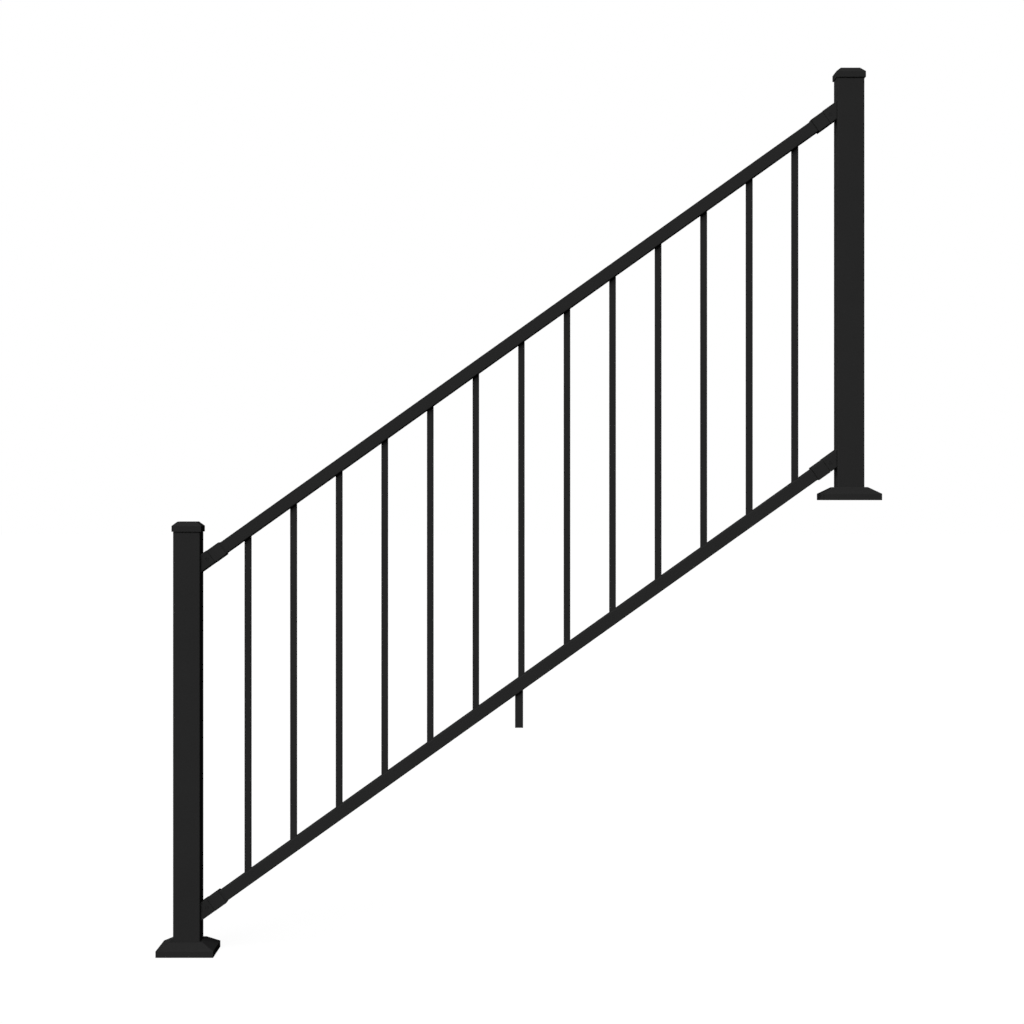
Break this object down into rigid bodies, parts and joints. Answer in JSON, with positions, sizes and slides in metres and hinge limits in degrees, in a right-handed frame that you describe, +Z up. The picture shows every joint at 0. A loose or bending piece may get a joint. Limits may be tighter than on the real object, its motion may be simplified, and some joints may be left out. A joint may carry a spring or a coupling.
{
  "type": "stair railing section",
  "caption": "Black metal stair railing section: square posts on bolted feet, sloping rails held by pivoting end brackets, and upright square balusters.",
  "frame": {"origin": "centre of the underside of the lower post's base plate", "axes": "+X runs level from the lower post to the upper post, +Y across the stair, +Z straight up"},
  "size_m": [1.6973, 0.135, 2.0875],
  "materials": {
    "baluster_coat": "satin",
    "bracket_coat": "satin",
    "cast_coat": "satin",
    "cover_coat": "satin",
    "foot_coat": "satin",
    "pin_coat": "satin",
    "plate_coat": "satin",
    "post_coat": "satin",
    "rail_coat": "satin"
  },
  "bodies": {
    "root": {"baluster_01": "baluster_coat", "baluster_02": "baluster_coat", "baluster_03": "baluster_coat", "baluster_04": "baluster_coat", "baluster_05": "baluster_coat", "baluster_06": "baluster_coat", "baluster_07": "baluster_coat", "baluster_08": "baluster_coat", "baluster_09": "baluster_coat", "baluster_10": "baluster_coat", "baluster_11": "baluster_coat", "baluster_12": "baluster_coat", "baluster_13": "baluster_coat", "bottom_rail": "rail_coat", "bottom_rail_lower_cup": "bracket_coat", "bottom_rail_lower_mount": "bracket_coat", "bottom_rail_lower_pin": "pin_coat", "bottom_rail_upper_cup": "bracket_coat", "bottom_rail_upper_mount": "bracket_coat", "bottom_rail_upper_pin": "pin_coat", "lower_base_cover": "cover_coat", "lower_base_plate": "plate_coat", "lower_post": "post_coat", "lower_post_cap": "cast_coat", "support_foot": "foot_coat", "top_rail": "rail_coat", "top_rail_lower_cup": "bracket_coat", "top_rail_lower_mount": "bracket_coat", "top_rail_lower_pin": "pin_coat", "top_rail_upper_cup": "bracket_coat", "top_rail_upper_mount": "bracket_coat", "top_rail_upper_pin": "pin_coat", "upper_base_cover": "cover_coat", "upper_base_plate": "plate_coat", "upper_post": "post_coat", "upper_post_cap": "cast_coat"}
  },
  "joints": []
}
